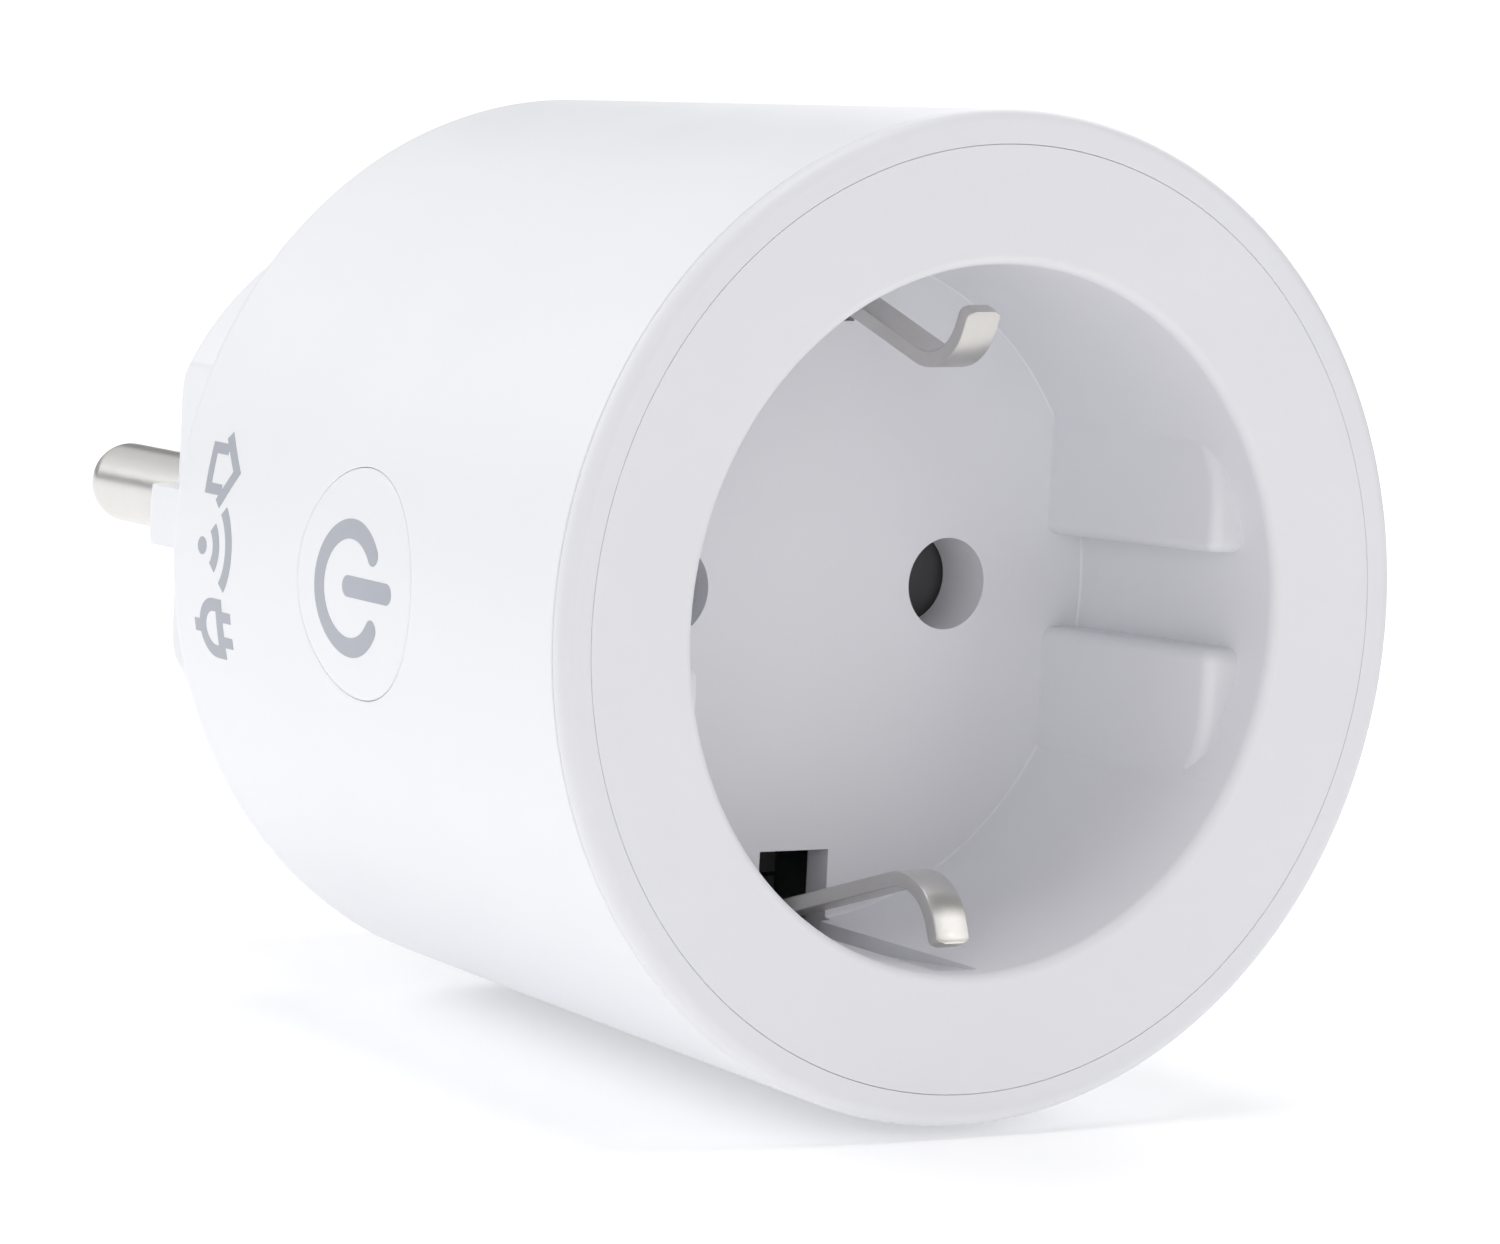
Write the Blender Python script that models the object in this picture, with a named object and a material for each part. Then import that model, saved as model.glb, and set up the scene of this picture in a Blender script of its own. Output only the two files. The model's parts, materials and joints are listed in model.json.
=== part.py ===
"""Wi-Fi smart plug for a round two-pin mains socket with side earth contacts.

The plug is a slightly tapered round body. A socket well opens in its front face, a plug nose
with two pins stands on its rear face, and a round push button lies flush in its left side.

Frame: metres, +Z up, -Y towards the user (socket face), +Y towards the wall (pins).
The origin is the centre of the nose's flat end face, between the two pins.
Depths are measured from the socket face towards the wall.
"""
import math

import bmesh
import bpy
from mathutils import Matrix, Vector

MM = 0.001

# ---- driving dimensions -------------------------------------------------------------------
BODY_DEPTH = 45.0 * MM              # socket face to rear shoulder
NOSE_DEPTH = 15.0 * MM              # rear shoulder to the nose's end face
PIN_LENGTH = 19.0 * MM              # pin standing out of the nose
PIN_RADIUS = 2.4 * MM
PIN_SPACING = 19.0 * MM             # between the two pin axes
FACE_RADIUS = 28.06 * MM            # body radius at the socket face
TAPER = 0.053                       # loss of body radius per unit of depth
WALL = 2.0 * MM
REAR_CORNER = 1.2 * MM
GAP = 0.25 * MM                     # gap between neighbouring pieces

INSERT_RADIUS = 26.15 * MM
WELL_DEPTH = 17.5 * MM
WELL_MOUTH_RADIUS = 19.6 * MM
WELL_FLOOR_RADIUS = 19.1 * MM
WELL_OUTER_RADIUS = 21.1 * MM
FLOOR_THICKNESS = 2.0 * MM
FACE_PLATE = 2.2 * MM
HOLE_RADIUS = 2.6 * MM
HOLE_BOSS_RADIUS = 4.2 * MM
HOLE_BOSS_DEPTH = 21.5 * MM
PAD_FACE_MOUTH = 17.2 * MM          # x of a guide pad's flat at its front end
PAD_FACE_FLOOR = 16.5 * MM          # x of the same flat at the well's floor
PAD_START = 2.8 * MM                # depth at which the guide pads begin
PAD_GAP_HALF = 2.8 * MM             # half the gap between the two pads of one side

CLIP_WIDTH = 2.3 * MM
CLIP_THICKNESS = 0.9 * MM
CLIP_ROOT_DEPTH = 22.6 * MM         # where each clip's flexing root lies
CLIP_CREST_DEPTH = 5.8 * MM
CLIP_TOP = (19.08 * MM, 13.91 * MM)     # heights of the strip's middle at its root and crest
CLIP_BOTTOM = (19.73 * MM, 14.97 * MM)
CLIP_BEND_RADIUS = 3.25 * MM
CLIP_TIP_ANGLE = math.radians(68.4)
CLIP_TIP_LENGTH = 1.2 * MM
SLOT_HALF_WIDTH = 2.35 * MM
SLOT_LOW = 15.0 * MM
SLOT_HIGH = 20.25 * MM
GROOVE_HALF_WIDTH = 1.5 * MM        # groove in the well's wall that lets a clip move outwards
GROOVE_START = 1.6 * MM
GROOVE_FRONT_HIGH = 19.6 * MM
GROOVE_BACK_HIGH = 20.4 * MM

NOSE_RADIUS = 18.4 * MM
NOTCH_FLAT = 16.3 * MM              # x of the nose's side flats
RIDGE_HALF = 2.35 * MM              # half the height of the ridge between two flats
NOSE_CAVITY_RADIUS = 14.3 * MM
EARTH_HOLE_HEIGHT = 10.0 * MM
EARTH_HOLE_RADIUS = 2.75 * MM

BUTTON_DEPTH = 22.9 * MM            # depth of the button's axis
BUTTON_RADIUS = 6.4 * MM
BUTTON_FLANGE_RADIUS = 7.4 * MM
BUTTON_TRAVEL = 0.6 * MM

SHUTTER_FRONT = 21.9 * MM
SHUTTER_THICKNESS = 1.2 * MM
SHUTTER_HALF_WIDTH = 3.1 * MM
PIVOT_RADIUS = 1.6 * MM

BOARD_FRONT = 37.0 * MM
BOARD_THICKNESS = 1.6 * MM
BOARD_RADIUS = 22.0 * MM
POST_PLACES = [(sx * 14.2 * MM, sz * 11.9 * MM) for sx in (-1, 1) for sz in (-1, 1)]
POST_RADIUS = 2.2 * MM

STRAP_HALF_WIDTH = 2.4 * MM
STRAP_LOW = 17.3 * MM
STRAP_HIGH = 18.1 * MM

ROUND_STEPS = 72                    # facets of the large round pieces
SMALL_STEPS = 24                    # facets of pins and bores

# ---- derived dimensions -------------------------------------------------------------------
NOSE_FACE = BODY_DEPTH + NOSE_DEPTH
FLOOR_BACK = WELL_DEPTH + FLOOR_THICKNESS
BOARD_BACK = BOARD_FRONT + BOARD_THICKNESS
PIN_X = PIN_SPACING / 2


def body_radius(depth):
    """Outer radius of the tapered body at a depth behind the socket face."""
    return FACE_RADIUS - TAPER * depth


def place(x, depth, z):
    """World point of a place given by its depth behind the socket face."""
    return Vector((x, depth - NOSE_FACE, z))


# ---- materials ----------------------------------------------------------------------------
def make_material(name, colour, roughness, metallic=0.0):
    material = bpy.data.materials.new(name)
    material.use_nodes = True
    shader = material.node_tree.nodes["Principled BSDF"]
    shader.inputs["Base Color"].default_value = (*colour, 1.0)
    shader.inputs["Roughness"].default_value = roughness
    shader.inputs["Metallic"].default_value = metallic
    material.diffuse_color = (*colour, 1.0)
    return material


MATERIAL_LOOKS = {
    "white_shell": ((0.90, 0.91, 0.93), 0.45, 0.0),
    "white_insert": ((0.78, 0.79, 0.81), 0.50, 0.0),
    "nickel": ((0.70, 0.69, 0.67), 0.25, 1.0),
    "brass": ((0.75, 0.58, 0.28), 0.30, 1.0),
    "spring_steel": ((0.55, 0.55, 0.56), 0.30, 1.0),
    "board_green": ((0.03, 0.20, 0.09), 0.50, 0.0),
    "black_plastic": ((0.03, 0.03, 0.035), 0.45, 0.0),
    "dark_plastic": ((0.10, 0.10, 0.11), 0.50, 0.0),
    "relay_blue": ((0.05, 0.16, 0.45), 0.40, 0.0),
    "varistor_blue": ((0.06, 0.20, 0.50), 0.35, 0.0),
    "led_lens": ((0.80, 0.85, 0.95), 0.15, 0.0),
}
MATERIALS = {}


# ---- mesh helpers -------------------------------------------------------------------------
def make_object(name, bm, material=None, origin=None):
    """Turn a bmesh into an object whose origin lies at the given world point."""
    bmesh.ops.recalc_face_normals(bm, faces=bm.faces)
    origin = Vector((0.0, 0.0, 0.0)) if origin is None else Vector(origin)
    bmesh.ops.translate(bm, verts=bm.verts, vec=-origin)
    mesh = bpy.data.meshes.new(name)
    bm.to_mesh(mesh)
    bm.free()
    mesh.shade_smooth()
    mesh.set_sharp_from_angle(angle=math.radians(30))
    thing = bpy.data.objects.new(name, mesh)
    thing.location = origin
    bpy.context.scene.collection.objects.link(thing)
    if material:
        mesh.materials.append(MATERIALS[material])
        thing.parent = bpy.data.objects["smart_plug"]
    return thing


def spun(name, profile, steps, material=None, centre=(0.0, 0.0), origin=None):
    """Solid of revolution about a line along Y. The profile is a list of (radius, depth).

    A profile that starts and ends on the axis is an open chain, any other one is a closed loop.
    """
    bm = bmesh.new()
    verts = [bm.verts.new((r, d - NOSE_FACE, 0.0)) for r, d in profile]
    closed = profile[0][0] > 0.0
    ends = verts[1:] + verts[:1] if closed else verts[1:]
    edges = [bm.edges.new(pair) for pair in zip(verts, ends)]
    bmesh.ops.spin(bm, geom=verts + edges, cent=(0, 0, 0), axis=(0, 1, 0),
                   angle=math.tau, steps=steps, use_duplicate=False)
    bmesh.ops.remove_doubles(bm, verts=bm.verts, dist=1e-7)
    bmesh.ops.translate(bm, verts=bm.verts, vec=(centre[0], 0.0, centre[1]))
    return make_object(name, bm, material, origin)


def rod(name, radius, start, end, steps=SMALL_STEPS, material=None, centre=(0.0, 0.0)):
    """Plain cylinder along Y between two depths."""
    profile = [(0.0, start), (radius, start), (radius, end), (0.0, end)]
    return spun(name, profile, steps, material, centre)


def side_rod(name, radius, x_start, x_end, depth, steps=SMALL_STEPS, material=None, origin=None):
    """Plain cylinder along X between two x places, centred at a depth on the mid-height."""
    bm = bmesh.new()
    turn = Matrix.Rotation(math.pi / 2, 4, "Y")
    middle = Matrix.Translation(place((x_start + x_end) / 2, depth, 0.0))
    bmesh.ops.create_cone(bm, cap_ends=True, segments=steps, radius1=radius, radius2=radius,
                          depth=abs(x_end - x_start), matrix=middle @ turn)
    return make_object(name, bm, material, origin)


def block(name, low, high, material=None):
    """Box between two corners, each given as (x, depth, z)."""
    bm = bmesh.new()
    low, high = place(*low), place(*high)
    size = Matrix.Diagonal((*(high - low), 1.0))
    bmesh.ops.create_cube(bm, size=1.0, matrix=Matrix.Translation((low + high) / 2) @ size)
    return make_object(name, bm, material)


def extruded(name, outline, vector, material=None, origin=None):
    """Prism made by moving a closed outline of world points along a vector."""
    bm = bmesh.new()
    face = bm.faces.new([bm.verts.new(point) for point in outline])
    moved = bmesh.ops.extrude_face_region(bm, geom=[face])["geom"]
    verts = [item for item in moved if isinstance(item, bmesh.types.BMVert)]
    bmesh.ops.translate(bm, verts=verts, vec=vector)
    return make_object(name, bm, material, origin)


def boolean(target, tool, operation="DIFFERENCE"):
    """Combine a guide solid with a piece, and keep the guide out of the model."""
    modifier = target.modifiers.new(tool.name, "BOOLEAN")
    modifier.operation = operation
    modifier.solver = "EXACT"
    modifier.object = tool
    tool.hide_render = True
    tool.display_type = "WIRE"


def arc(centre, radius, start, end, steps):
    """Points on an arc, from one angle in radians to another."""
    turns = [start + (end - start) * i / steps for i in range(steps + 1)]
    return [(centre[0] + radius * math.cos(a), centre[1] + radius * math.sin(a)) for a in turns]


# ---- housing ------------------------------------------------------------------------------
def body_shell():
    """Tapered sleeve with a rear shoulder, a hole for the nose and one for the button."""
    rear_start = BODY_DEPTH - REAR_CORNER
    corner = arc((body_radius(rear_start) - REAR_CORNER, rear_start), REAR_CORNER,
                 math.pi / 2, 0.0, 3)
    ledge = 4.9 * MM
    ring_outer = 27.2 * MM
    inner_back = BODY_DEPTH - WALL
    profile = [
        (body_radius(1.2 * MM), 1.2 * MM),
        (ring_outer, 1.2 * MM),
        (ring_outer, ledge),
        (body_radius(ledge) - WALL, ledge),
        (body_radius(inner_back) - WALL, inner_back),
        (NOSE_RADIUS + GAP, inner_back),
        (NOSE_RADIUS + GAP, BODY_DEPTH),
    ] + corner
    shell = spun("body_shell", profile, ROUND_STEPS, "white_shell")
    hole = side_rod("button_hole", BUTTON_RADIUS + GAP, -30.0 * MM, -20.0 * MM, BUTTON_DEPTH, 40)
    boolean(shell, hole)


def front_ring():
    """Thin trim ring round the socket face, with a skirt that enters the sleeve."""
    inner = INSERT_RADIUS + GAP
    outer = body_radius(1.0 * MM)
    edge = 0.8 * MM
    rolled = arc((outer - edge, edge), edge, -math.pi / 2, 0.0, 4)
    skirt = 26.95 * MM
    profile = [(inner, 0.0)] + rolled
    profile += [(outer, 0.95 * MM), (skirt, 0.95 * MM), (skirt, 4.6 * MM), (inner, 4.6 * MM)]
    spun("front_ring", profile, ROUND_STEPS, "white_insert")


def guide_pad(side, half):
    """One of the four flat pads that key a plug in the well."""
    low, high = PAD_GAP_HALF * half, 12.0 * MM * half
    reach = 20.3 * MM * side
    front, back = PAD_START, WELL_DEPTH + 0.5 * MM
    outline = [
        place(PAD_FACE_MOUTH * side, front, low),
        place(PAD_FACE_FLOOR * side, back, low),
        place(reach, back, low),
        place(reach, front, low),
    ]
    name = f"pad_guide_{'left' if side < 0 else 'right'}_{'low' if half < 0 else 'high'}"
    return extruded(name, outline, (0.0, 0.0, high - low))


def socket_insert():
    """Face plate, well, guide pads, floor and the posts that carry the main board."""
    lip = 0.3 * MM
    skirt_outer, skirt_inner, skirt_end = 25.3 * MM, 24.1 * MM, 8.0 * MM
    profile = [
        (0.0, WELL_DEPTH),
        (WELL_FLOOR_RADIUS, WELL_DEPTH),
        (WELL_MOUTH_RADIUS, lip),
        (WELL_MOUTH_RADIUS + lip, 0.0),
        (INSERT_RADIUS, 0.0),
        (INSERT_RADIUS, FACE_PLATE),
        (skirt_outer, FACE_PLATE),
        (skirt_outer, skirt_end),
        (skirt_inner, skirt_end),
        (skirt_inner, FACE_PLATE),
        (WELL_OUTER_RADIUS, FACE_PLATE),
        (WELL_OUTER_RADIUS, FLOOR_BACK),
        (0.0, FLOOR_BACK),
    ]
    insert = spun("socket_insert", profile, ROUND_STEPS, "white_insert")
    for side in (-1, 1):
        for half in (-1, 1):
            boolean(insert, guide_pad(side, half), "UNION")
    root = FLOOR_BACK - 0.5 * MM
    for side in (-1, 1):
        boss = rod(f"hole_boss_{side + 1}", HOLE_BOSS_RADIUS, root, HOLE_BOSS_DEPTH,
                   centre=(side * PIN_X, 0.0))
        boolean(insert, boss, "UNION")
    for number, centre in enumerate(POST_PLACES):
        post = rod(f"post_{number}", POST_RADIUS, root, BOARD_FRONT - GAP, 16, centre=centre)
        boolean(insert, post, "UNION")
        bore = rod(f"post_bore_{number}", 1.15 * MM, 31.0 * MM, BOARD_FRONT, 12, centre=centre)
        boolean(insert, bore)
    pivot = rod("pivot", PIVOT_RADIUS, root, 26.4 * MM, 16)
    boolean(insert, pivot, "UNION")
    for side in (-1, 1):
        hole = rod(f"pin_hole_{side + 1}", HOLE_RADIUS, WELL_DEPTH - 1.0 * MM,
                   HOLE_BOSS_DEPTH + 1.0 * MM, centre=(side * PIN_X, 0.0))
        boolean(insert, hole)
        name = "top" if side > 0 else "bottom"
        lows, highs = sorted((side * SLOT_LOW, side * SLOT_HIGH))
        slot = block(f"clip_slot_{name}", (-SLOT_HALF_WIDTH, WELL_DEPTH - 0.6 * MM, lows),
                     (SLOT_HALF_WIDTH, FLOOR_BACK + 1.0 * MM, highs))
        boolean(insert, slot)
        outline = [(GROOVE_START, 17.0 * MM), (GROOVE_START, GROOVE_FRONT_HIGH),
                   (WELL_DEPTH, GROOVE_BACK_HIGH), (WELL_DEPTH, 17.0 * MM)]
        points = [place(-GROOVE_HALF_WIDTH, d, side * h) for d, h in outline]
        groove = extruded(f"clip_groove_{name}", points, (2 * GROOVE_HALF_WIDTH, 0.0, 0.0))
        boolean(insert, groove)


def plug_base():
    """Round nose with side flats and ridges, hollow behind, on a flange inside the body."""
    flange_radius, flange_front = 22.0 * MM, 41.1 * MM
    flange_back = BODY_DEPTH - WALL - GAP
    edge = 0.5 * MM
    profile = [
        (0.0, flange_front),
        (flange_radius, flange_front),
        (flange_radius, flange_back),
        (NOSE_RADIUS, flange_back),
        (NOSE_RADIUS, NOSE_FACE - edge),
        (NOSE_RADIUS - edge, NOSE_FACE),
        (0.0, NOSE_FACE),
    ]
    base = spun("plug_base", profile, ROUND_STEPS, "white_shell")
    end_wall = 2.5 * MM
    cavity_end = NOSE_FACE - end_wall
    cavity = rod("nose_cavity", NOSE_CAVITY_RADIUS, flange_front - 1.0 * MM, cavity_end, 48)
    boolean(base, cavity)
    for side in (-1, 1):
        for half in (-1, 1):
            xs = sorted((side * NOTCH_FLAT, side * 20.0 * MM))
            zs = sorted((half * RIDGE_HALF, half * 12.0 * MM))
            notch = block(f"notch_{side + 1}_{half + 1}", (xs[0], BODY_DEPTH + 1.0 * MM, zs[0]),
                          (xs[1], NOSE_FACE + 1.0 * MM, zs[1]))
            boolean(base, notch)
        zs = sorted((side * 16.95 * MM, side * 23.0 * MM))
        channel = block(f"earth_channel_{side + 1}", (-2.75 * MM, flange_front - 1.0 * MM, zs[0]),
                        (2.75 * MM, NOSE_FACE - 1.5 * MM, zs[1]))
        boolean(base, channel)
        boss = rod(f"pin_boss_{side + 1}", 4.2 * MM, 44.3 * MM, cavity_end + 0.6 * MM,
                   centre=(side * PIN_X, 0.0))
        boolean(base, boss, "UNION")
    earth_centre = (0.0, EARTH_HOLE_HEIGHT)
    earth_boss = rod("earth_boss", 4.6 * MM, 45.4 * MM, cavity_end + 0.4 * MM, centre=earth_centre)
    boolean(base, earth_boss, "UNION")
    counterbore = rod("earth_counterbore", 3.75 * MM, 44.0 * MM, NOSE_FACE - 3.2 * MM,
                      centre=earth_centre)
    boolean(base, counterbore)
    mouth = rod("earth_mouth", EARTH_HOLE_RADIUS, NOSE_FACE - 4.0 * MM, NOSE_FACE + 1.0 * MM,
                centre=earth_centre)
    boolean(base, mouth)
    for side in (-1, 1):
        bore = rod(f"pin_bore_{side + 1}", PIN_RADIUS + 0.2 * MM, 43.0 * MM,
                   NOSE_FACE + 1.0 * MM, centre=(side * PIN_X, 0.0))
        boolean(base, bore)


def plug_pin(name, side):
    """Round plug pin with a domed tip and a thin stub that is soldered in the board."""
    tip = NOSE_FACE + PIN_LENGTH
    dome = 2.1 * MM
    domed = arc((PIN_RADIUS - dome, tip - dome), dome, 0.0, math.pi / 2, 6)
    stub = 1.2 * MM
    profile = [(0.0, BOARD_FRONT - 0.1 * MM), (stub, BOARD_FRONT - 0.1 * MM),
               (stub, BOARD_BACK + 0.3 * MM), (PIN_RADIUS, BOARD_BACK + 0.3 * MM)]
    spun(name, profile + domed + [(0.0, tip)], SMALL_STEPS, "nickel", (side * PIN_X, 0.0))


# ---- earthing -----------------------------------------------------------------------------
def clip_centre_line(root_height, crest_height):
    """Middle line of an earth clip as (depth, height): root, straight leg, crest and tip."""
    centre = (CLIP_CREST_DEPTH, crest_height + CLIP_BEND_RADIUS)
    to_root = (CLIP_ROOT_DEPTH - centre[0], root_height - centre[1])
    reach = math.hypot(*to_root)
    leg = math.atan2(to_root[1], to_root[0]) - math.acos(CLIP_BEND_RADIUS / reach)
    tip = -math.pi / 2 - CLIP_TIP_ANGLE
    bend = arc(centre, CLIP_BEND_RADIUS, leg, tip, 10)
    end = bend[-1]
    end = (end[0] - CLIP_TIP_LENGTH * math.cos(CLIP_TIP_ANGLE),
           end[1] + CLIP_TIP_LENGTH * math.sin(CLIP_TIP_ANGLE))
    return [(CLIP_ROOT_DEPTH, root_height)] + bend + [end]


def offset_line(line, distance):
    """The same line moved sideways, with mitred corners."""
    moved = []
    for i, point in enumerate(line):
        before = Vector(line[max(i - 1, 0)])
        after = Vector(line[min(i + 1, len(line) - 1)])
        along = (after - before).normalized()
        moved.append((point[0] - along.y * distance, point[1] + along.x * distance))
    return moved


def earth_clip(name, side, root_height, crest_height):
    """Bent nickel strip that springs out of the well's floor on one side."""
    line = clip_centre_line(root_height, crest_height)
    half = CLIP_THICKNESS / 2
    outline = offset_line(line, half) + offset_line(line, -half)[::-1]
    points = [place(-CLIP_WIDTH / 2, d, side * h) for d, h in outline]
    root = place(0.0, CLIP_ROOT_DEPTH, side * root_height)
    extruded(name, points, (CLIP_WIDTH, 0.0, 0.0), "nickel", root)


def earth_bridge():
    """Strip behind the well's floor, bent back at both ends to meet the earth straps."""
    front, foot = 20.0 * MM, 23.0 * MM
    inner, outer, reach = 13.8 * MM, 14.6 * MM, STRAP_LOW - GAP
    sheet = STRAP_HIGH - STRAP_LOW
    half = [(front, outer), (foot, outer), (foot, reach), (foot + sheet, reach),
            (foot + sheet, inner), (front + sheet, inner)]
    outline = half + [(depth, -height) for depth, height in reversed(half)]
    points = [place(-STRAP_HALF_WIDTH, d, h) for d, h in outline]
    bridge = extruded("earth_bridge", points, (2 * STRAP_HALF_WIDTH, 0.0, 0.0), "nickel")
    boolean(bridge, rod("bridge_hole", PIVOT_RADIUS + GAP, 19.0 * MM, 22.0 * MM, 16))


def earth_strap(name, side):
    """Long strip from behind a clip's root to the nose, flush in the nose's channel."""
    hook = 1.3 * MM
    start, end = 23.0 * MM, NOSE_FACE - 1.8 * MM
    low, high, thickness = STRAP_LOW, STRAP_HIGH, STRAP_HIGH - STRAP_LOW
    tab = 19.9 * MM
    outline = [(start, low), (start, tab), (start + thickness, tab), (start + thickness, high),
               (end - hook, high), (end, high - hook / 2),
               (end, low - 0.1 * MM), (end - thickness, low - 0.1 * MM), (end - hook, low)]
    points = [place(-STRAP_HALF_WIDTH, d, side * h) for d, h in outline]
    extruded(name, points, (2 * STRAP_HALF_WIDTH, 0.0, 0.0), "nickel")


def split_sleeve(name, centre, inner, outer, start, end, slot_turn, material):
    """Springy sleeve along Y with one slot, as an extruded C outline."""
    half_slot = math.radians(24)
    first, last = slot_turn + half_slot, slot_turn + math.tau - half_slot
    outline = arc(centre, outer, first, last, 20) + arc(centre, inner, last, first, 20)
    points = [place(x, start, z) for x, z in outline]
    return extruded(name, points, (0.0, end - start, 0.0), material)


def earth_pin_contact():
    """Slotted sleeve in the nose that grips a wall socket's own earth pin."""
    split_sleeve("earth_pin_contact", (0.0, EARTH_HOLE_HEIGHT), 2.85 * MM, 3.45 * MM,
                 46.0 * MM, 56.2 * MM, math.pi / 2, "brass")


# ---- live parts behind the well -----------------------------------------------------------
def socket_contact(name, side):
    """Slotted brass sleeve that grips a guest plug's pin, with a tab through the board."""
    x = side * PIN_X
    contact = split_sleeve(name, (x, 0.0), 2.5 * MM, 3.15 * MM, 24.6 * MM, 33.5 * MM,
                           math.pi / 2, "brass")
    tab = block(f"{name}_tab", (x - 1.2 * MM, 30.0 * MM, -3.3 * MM),
                (x + 1.2 * MM, BOARD_BACK + 0.5 * MM, -2.65 * MM))
    boolean(contact, tab, "UNION")


def contact_housing(name, side):
    """Square insulating sleeve round one socket contact."""
    x = side * PIN_X
    outer, inner = 4.5 * MM, 3.6 * MM
    housing = block(name, (x - outer, 24.2 * MM, -outer), (x + outer, 35.5 * MM, outer),
                    "white_insert")
    bore = block(f"{name}_bore", (x - inner, 23.0 * MM, -inner), (x + inner, 37.0 * MM, inner))
    boolean(housing, bore)


def safety_shutter():
    """Turning plate that closes both pin holes until two pins push it aside."""
    end = SHUTTER_HALF_WIDTH
    outline = arc((PIN_X, 0.0), end, -math.pi / 2, math.pi / 2, 10)
    outline += arc((-PIN_X, 0.0), end, math.pi / 2, 3 * math.pi / 2, 10)
    points = [place(x, SHUTTER_FRONT, z) for x, z in outline]
    shutter = extruded("safety_shutter", points, (0.0, SHUTTER_THICKNESS, 0.0), "dark_plastic",
                       place(0.0, SHUTTER_FRONT, 0.0))
    back = SHUTTER_FRONT + SHUTTER_THICKNESS
    hole = rod("shutter_bore", PIVOT_RADIUS + 0.15 * MM, SHUTTER_FRONT - 1.0 * MM,
               back + 1.0 * MM, 16)
    boolean(shutter, hole)


def shutter_spring():
    """Torsion spring coiled round the pivot behind the shutter."""
    turns, per_turn, sides = 3, 20, 6
    radius, wire = 2.5 * MM, 0.2 * MM
    start, pitch = 23.6 * MM, 0.55 * MM
    leg = 2.2 * MM
    line = []
    for i in range(turns * per_turn + 1):
        a = math.tau * i / per_turn
        line.append(place(radius * math.cos(a), start + pitch * i / per_turn,
                          radius * math.sin(a)))
    tangent = Vector((0.0, 0.0, 1.0))
    line = [line[0] - tangent * leg] + line + [line[-1] + tangent * leg]
    bm = bmesh.new()
    rings = []
    for i, point in enumerate(line):
        along = (line[min(i + 1, len(line) - 1)] - line[max(i - 1, 0)]).normalized()
        side = along.cross(Vector((0.0, 1.0, 0.0))).normalized()
        up = side.cross(along)
        turns_round = [math.tau * k / sides for k in range(sides)]
        rings.append([bm.verts.new(point + (side * math.cos(a) + up * math.sin(a)) * wire)
                      for a in turns_round])
    for first, second in zip(rings, rings[1:]):
        for k in range(sides):
            n = (k + 1) % sides
            bm.faces.new((first[k], first[n], second[n], second[k]))
    bm.faces.new(rings[0])
    bm.faces.new(rings[-1])
    make_object("shutter_spring", bm, "spring_steel")


def shutter_retainer():
    """Push-on washer that keeps the shutter and its spring on the pivot."""
    inner, outer = PIVOT_RADIUS + 0.1 * MM, 2.9 * MM
    start, end = 25.7 * MM, 26.2 * MM
    spun("shutter_retainer", [(inner, start), (outer, start), (outer, end), (inner, end)],
         SMALL_STEPS, "spring_steel")


# ---- button -------------------------------------------------------------------------------
def button_cap():
    """Flush round button: the body's own curved surface, a flange, a hollow and a stem."""
    axis = place(-body_radius(BUTTON_DEPTH), BUTTON_DEPTH, 0.0)
    back = -22.5 * MM
    cap = side_rod("button_cap", BUTTON_RADIUS, -29.0 * MM, back, BUTTON_DEPTH, 40,
                   "white_shell", axis)
    near, far = BUTTON_DEPTH - 12.0 * MM, BUTTON_DEPTH + 12.0 * MM
    cone = spun("button_surface", [(0.0, near), (body_radius(near), near),
                                   (body_radius(far), far), (0.0, far)], ROUND_STEPS)
    boolean(cap, cone, "INTERSECT")
    flange = side_rod("button_flange", BUTTON_FLANGE_RADIUS, -23.35 * MM, back, BUTTON_DEPTH, 40)
    boolean(cap, flange, "UNION")
    hollow = side_rod("button_hollow", 5.2 * MM, -25.0 * MM, back + 1.0 * MM, BUTTON_DEPTH, 32)
    boolean(cap, hollow)
    stem = side_rod("button_stem", 1.6 * MM, -25.4 * MM, -22.2 * MM, BUTTON_DEPTH, 16)
    boolean(cap, stem, "UNION")


def push_switch():
    """Small push switch on the button board, with its plunger as a piece of its own."""
    face = -21.0 * MM
    half = 2.25 * MM
    depth = BUTTON_DEPTH
    body = block("switch_body", (face, depth - half, -half), (-19.2 * MM, depth + half, half),
                 "black_plastic")
    boolean(body, side_rod("switch_bore", 1.35 * MM, face - 1.0 * MM, -19.7 * MM, depth, 16))
    side_rod("switch_plunger", 1.1 * MM, -21.9 * MM, -20.5 * MM, depth, 16, "dark_plastic",
             place(-21.9 * MM, depth, 0.0))


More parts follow.
